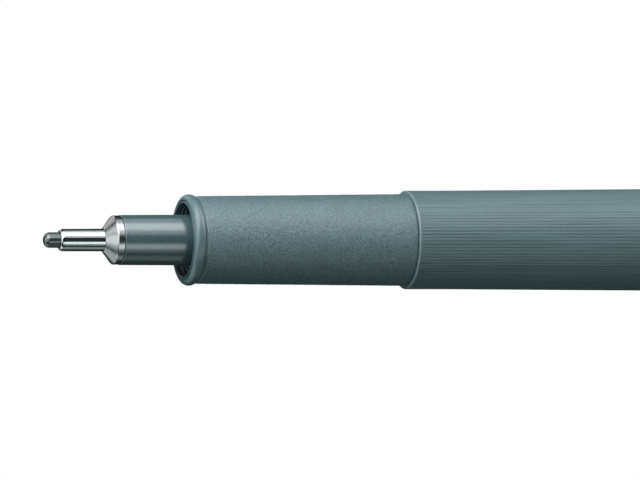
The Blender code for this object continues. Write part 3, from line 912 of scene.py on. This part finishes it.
def make_liner():
    """The inner cap that seals the tip."""
    mouth, end = start_of("cap_liner"), end_of("cap_liner")
    floor = CAP_MOUTH + LINER_CAVITY_END
    flange = radius_of("cap_liner")
    foot = (floor, LINER_RADIUS + LINER_EDGE)
    outline = [(floor, 0.0), (floor, LINER_BORE), (mouth + LINER_EDGE, LINER_BORE)]
    outline += [(mouth, LINER_BORE + LINER_EDGE), (mouth, LINER_RADIUS - LINER_EDGE)]
    outline += quarter_round(outline[-1], (mouth + LINER_EDGE, LINER_RADIUS), steps=5)
    outline += [(floor - LINER_EDGE, LINER_RADIUS)]
    outline += quarter_round(outline[-1], foot, steps=4, crest_last=False)
    outline += [(floor, flange), (end, flange), (end, 0.0)]
    mesh = turned("cap_liner_fine", outline)
    add_piece("cap_liner", mesh, natural_plastic("liner_plastic"))


def make_crown():
    """The glossy button at the cap's end, with a rounded rim and a shallow dish."""
    start, end = start_of("cap_crown"), end_of("cap_crown")
    spigot = CAP_INNER_RADIUS - PRESS_FIT
    seat = CAP_MOUTH + CAP_SHELL_LENGTH + SEAT_GAP
    rim = (end, CAP_END_RADIUS - CROWN_EDGE)
    dish_edge = (end - CROWN_DISH, CAP_END_RADIUS - CROWN_RIM)
    outline = [(start, 0.0), (start, spigot), (seat, spigot), (seat, CAP_END_RADIUS - CROWN_SEAT_EDGE)]
    outline += [(seat + CROWN_SEAT_EDGE, CAP_END_RADIUS), (end - CROWN_EDGE, CAP_END_RADIUS)]
    outline += quarter_round(outline[-1], rim, steps=10, crest_last=False)
    outline += [(end, dish_edge[1] + CROWN_DISH)]
    outline += quarter_round(outline[-1], dish_edge, steps=5, crest_last=False)
    outline += [(end - CROWN_DISH, dish_edge[1] / 2), (end - CROWN_DISH, 0.0)]
    material = plastic(
        "crown_plastic", HOLDER_COLOUR, CROWN_ROUGHNESS, GLOSS_IOR, GLOSS_SKIN_DEPTH, GLOSS_SKIN_SIZE
    )
    mesh = turned("cap_crown_fine", supported(outline))
    add_piece("cap_crown", mesh, material)


def clip_path():
    """The clip's middle line as (x, radius), from the tongue's tip to the turned-up toe."""
    bend_x = CLIP_ROOT - CLIP_BEND_RADIUS
    bend_radius = CLIP_ARM_RADIUS - CLIP_BEND_RADIUS
    foot_radius = CAP_RADIUS + CLIP_FOOT_GAP + CLIP_THICKNESS / 2
    path = [(CLIP_ROOT, TONGUE_TIP_RADIUS), (CLIP_ROOT, CAP_INNER_RADIUS)]
    for step in range(CLIP_BEND_STEPS + 1):
        turn = math.radians(90) * step / CLIP_BEND_STEPS
        x = bend_x + CLIP_BEND_RADIUS * math.cos(turn)
        path.append((x, bend_radius + CLIP_BEND_RADIUS * math.sin(turn)))
    for step in range(1, CLIP_ARM_STEPS + 1):
        part = step / CLIP_ARM_STEPS
        bow = CLIP_BOW * math.sin(math.pi * part)
        x = bend_x + (CLIP_FOOT - bend_x) * part
        path.append((x, CLIP_ARM_RADIUS + (foot_radius - CLIP_ARM_RADIUS) * part + bow))
    for step in range(1, CLIP_TOE_STEPS + 1):
        part = step / CLIP_TOE_STEPS
        x = CLIP_FOOT + (CLIP_TIP - CLIP_FOOT) * part
        path.append((x, foot_radius + CLIP_TIP_RISE * part**CLIP_TIP_CURVE))
    return path


def clip_section(half_width):
    """The strip's cross-section, with its edges rounded, as (across, out) points."""
    points = []
    inner = (half_width - CLIP_EDGE, CLIP_THICKNESS / 2 - CLIP_EDGE)
    for quarter, (side, face) in enumerate(((1, 1), (-1, 1), (-1, -1), (1, -1))):
        for step in range(CLIP_EDGE_STEPS + 1):
            turn = math.radians(90) * (quarter + step / CLIP_EDGE_STEPS)
            across = side * inner[0] + CLIP_EDGE * math.cos(turn)
            points.append((across, face * inner[1] + CLIP_EDGE * math.sin(turn)))
    return points


def clip_narrowing(from_toe):
    """How much of its width the clip has, at a distance from its rounded toe."""
    if from_toe >= CLIP_TOE_ROUND:
        return 1.0
    return max(CLIP_TOE_NARROWEST, math.sqrt(1 - (1 - from_toe / CLIP_TOE_ROUND) ** 2))


def make_clip():
    """The sprung steel strip, with rounded edges and a rounded toe."""
    path = [Vector((x, radius)) for x, radius in clip_path()]
    bm = bmesh.new()
    rows = []
    for index, point in enumerate(path):
        before, after = path[max(index - 1, 0)], path[min(index + 1, len(path) - 1)]
        along = (after - before).normalized()
        out = Vector((along.y, -along.x))
        row = []
        for across, rise in clip_section(CLIP_WIDTH / 2 * clip_narrowing(point.x - CLIP_TIP)):
            spot = point + out * rise
            row.append(bm.verts.new((spot.x + CAP_MOUTH, across, spot.y)))
        rows.append(row)
    count = len(rows[0])
    for near, far in zip(rows, rows[1:]):
        for here in range(count):
            there = (here + 1) % count
            bm.faces.new((near[here], near[there], far[there], far[here]))
    bm.faces.new(rows[0])
    bm.faces.new(rows[-1])
    bmesh.ops.recalc_face_normals(bm, faces=bm.faces)
    bm.transform(CLIP_TURN)
    mesh = bpy.data.meshes.new("clip_fine")
    bm.to_mesh(mesh)
    bm.free()
    add_piece("clip", mesh, clip_steel("clip_steel"))


for make in (
    make_nib, make_sleeve, make_ferrule, make_holder, make_grip, make_barrel, make_reservoir,
    make_film, make_breather, make_plug, make_cap, make_liner, make_crown, make_clip,
):
    make()

# ---------------------------------------------------------------- studio

CAMERA_TILT = math.radians(18.3)
CAMERA_DISTANCE = 744.6 * MM
CAMERA_HEIGHT = 0.3 * MM
CAMERA_ROLL = math.radians(-0.15)
CAMERA_LENS = 400.0
CAMERA_SENSOR = 36.0
CAMERA_RANGE = (0.05, 20.0)
AIM = AXIS + Vector((30.15 * MM, 0.0, 0.0))

# Each light: direction from the pen, or the elevation that the pen mirrors, then distance, length,
# height, radiance and colour
BLUISH = (0.96, 1.0, 1.04)
COOL = (0.90, 1.0, 1.0)
COOLEST = (0.80, 1.0, 1.0)
LIGHTS = {
    "key": ((-0.61, -0.43, 0.67), 0.25, 0.27, 0.25, 3.4, WHITE),
    "key_fill": ((-0.61, -0.43, 0.67), 0.27, 0.29, 0.27, 5.2, WHITE),
    "long_softbox": (68, 0.45, 1.10, 0.80, 0.84, BLUISH),
    "long_core": (64, 0.45, 1.10, 0.29, 1.65, BLUISH),
    "front_strip": (-31, 0.45, 1.00, 0.18, 1.12, COOL),
    "front_fill": (-39, 0.45, 1.00, 0.36, 0.25, COOL),
    "under_strip": (-93, 0.45, 1.00, 0.24, 0.31, COOLEST),
    "ahead_card": ((-0.99, -0.09, 0.08), 0.45, 0.64, 0.50, 0.72, BLUISH),
    "ahead_core": ((-0.99, -0.06, 0.0), 0.45, 0.60, 0.20, 0.86, BLUISH),
    "upper_card": ((-0.38, 0.79, 0.47), 0.45, 0.34, 0.22, 0.87, WHITE),
    "lower_card": ((-0.60, 0.59, -0.53), 0.45, 0.27, 0.22, 0.79, COOL),
    "upper_edge": ((-0.58, 0.20, 0.80), 0.45, 0.30, 0.12, 1.4, WHITE),
    "lower_edge": ((-0.58, 0.20, -0.80), 0.45, 0.30, 0.12, 1.4, WHITE),
    "back_card": ((0.85, 0.52, 0.10), 0.45, 0.50, 0.40, 4.0, WHITE),
    "end_card": ((0.95, -0.10, 0.30), 0.45, 0.40, 0.40, 1.2, WHITE),
}
MATTE_LIGHTS = ("key_fill", "back_card")
ENDWISE = 0.7

DIM_COLOUR = (0.65, 1.0, 0.95)
DIM_STRENGTH = 0.035
FLOOR_HALF = 9.0
FLOOR_SHADES = ((0.3, (0.43, 0.43, 0.43)), (0.7, (0.46, 0.46, 0.46)))
PAPER_SIZE = 4 * MM
# The floor's glow: painted light, weak near the pen and full far from it
GLOW_NEAR, GLOW_FAR = 0.25, 1.0
GLOW_DISTANCES = (0.12, 0.4)


def add_camera():
    """A long lens that sees the pen from its side, with the nib turned towards it."""
    data = bpy.data.cameras.new("camera")
    data.lens = CAMERA_LENS
    data.sensor_width = CAMERA_SENSOR
    data.clip_start, data.clip_end = CAMERA_RANGE
    camera = bpy.data.objects.new("camera", data)
    bpy.context.scene.collection.objects.link(camera)
    rise = (CAMERA_HEIGHT - AIM.z) / CAMERA_DISTANCE
    back = Vector((-math.sin(CAMERA_TILT), -math.cos(CAMERA_TILT), rise)).normalized()
    camera.location = AIM + back * CAMERA_DISTANCE
    camera.rotation_mode = "QUATERNION"
    roll = Matrix.Rotation(CAMERA_ROLL, 3, "Z").to_quaternion()
    camera.rotation_quaternion = (-back).to_track_quat("-Z", "Y") @ roll
    bpy.context.scene.camera = camera


def add_softbox(name, direction, distance, length, height, radiance, colour):
    """A rectangular light that faces the camera's aim.

    Its length runs along the pen, or across it for a light that is ahead or behind.
    """
    data = bpy.data.lights.new(name, "AREA")
    data.shape = "RECTANGLE"
    data.size, data.size_y = length, height
    data.energy = radiance * math.pi * length * height
    data.color = colour
    light = bpy.data.objects.new(name, data)
    bpy.context.scene.collection.objects.link(light)
    out = Vector(direction).normalized()
    along = Vector((1.0, 0.0, 0.0))
    if abs(out.x) > ENDWISE:
        along = Vector((0.0, 1.0, 0.0))
    along = (along - out * along.dot(out)).normalized()
    up = out.cross(along)
    turn = Matrix((along, up, out)).transposed()
    light.matrix_world = Matrix.Translation(AIM + out * distance) @ turn.to_4x4()
    light.visible_camera = False
    light.visible_glossy = name not in MATTE_LIGHTS


def mirrored(elevation):
    """The direction that a side of the pen reflects to the camera, at an elevation in degrees."""
    across = math.cos(CAMERA_TILT)
    angle = math.radians(elevation)
    return (math.sin(CAMERA_TILT), -across * math.cos(angle), across * math.sin(angle))


def add_lights():
    """The softboxes, strips and cards round the pen."""
    for name, (place, *settings) in LIGHTS.items():
        direction = place if isinstance(place, tuple) else mirrored(place)
        add_softbox(name, direction, *settings)


def add_world():
    """White behind the pen, and a dim even light from everywhere else."""
    world = bpy.data.worlds.new("studio")
    bpy.context.scene.world = world
    world.use_nodes = True
    tree = world.node_tree
    tree.nodes.clear()
    seen = add_node(tree, "ShaderNodeBackground", {"Color": (*WHITE, 1.0), "Strength": 1.0})
    dim = add_node(tree, "ShaderNodeBackground", {"Color": (*DIM_COLOUR, 1.0), "Strength": DIM_STRENGTH})
    rays = add_node(tree, "ShaderNodeLightPath").outputs["Is Camera Ray"]
    mix = add_node(tree, "ShaderNodeMixShader", {0: rays, 1: dim.outputs[0], 2: seen.outputs[0]})
    add_node(tree, "ShaderNodeOutputWorld", {"Surface": mix.outputs[0]})


def add_floor():
    """A white table that shades under the pen and glows whiter away from it as painted light, without
    lighting the pen.
    """
    mesh = bpy.data.meshes.new("floor")
    half = FLOOR_HALF
    corners = [(-half, -half, 0), (half, -half, 0), (half, half, 0), (-half, half, 0)]
    mesh.from_pydata(corners, [], [(0, 1, 2, 3)])
    floor = bpy.data.objects.new("floor", mesh)
    bpy.context.scene.collection.objects.link(floor)
    floor.visible_diffuse = False
    floor.visible_glossy = False
    floor.visible_shadow = False
    material, tree, shader, place = new_material("floor", Roughness=0.9, Specular_IOR_Level=0.0)
    paper = ramp(tree, noise(tree, place, PAPER_SIZE), *FLOOR_SHADES)
    tree.links.new(paper, shader.inputs["Base Color"])
    far = add_node(tree, "ShaderNodeVectorMath", {0: place}, operation="LENGTH").outputs["Value"]
    glow = span(tree, far, GLOW_NEAR, GLOW_FAR, GLOW_DISTANCES)
    shader.inputs["Emission Color"].default_value = (*WHITE, 1.0)
    tree.links.new(glow, shader.inputs["Emission Strength"])
    floor.data.materials.append(material)


add_camera()
add_lights()
add_world()
add_floor()
bpy.context.scene.view_settings.view_transform = "Standard"
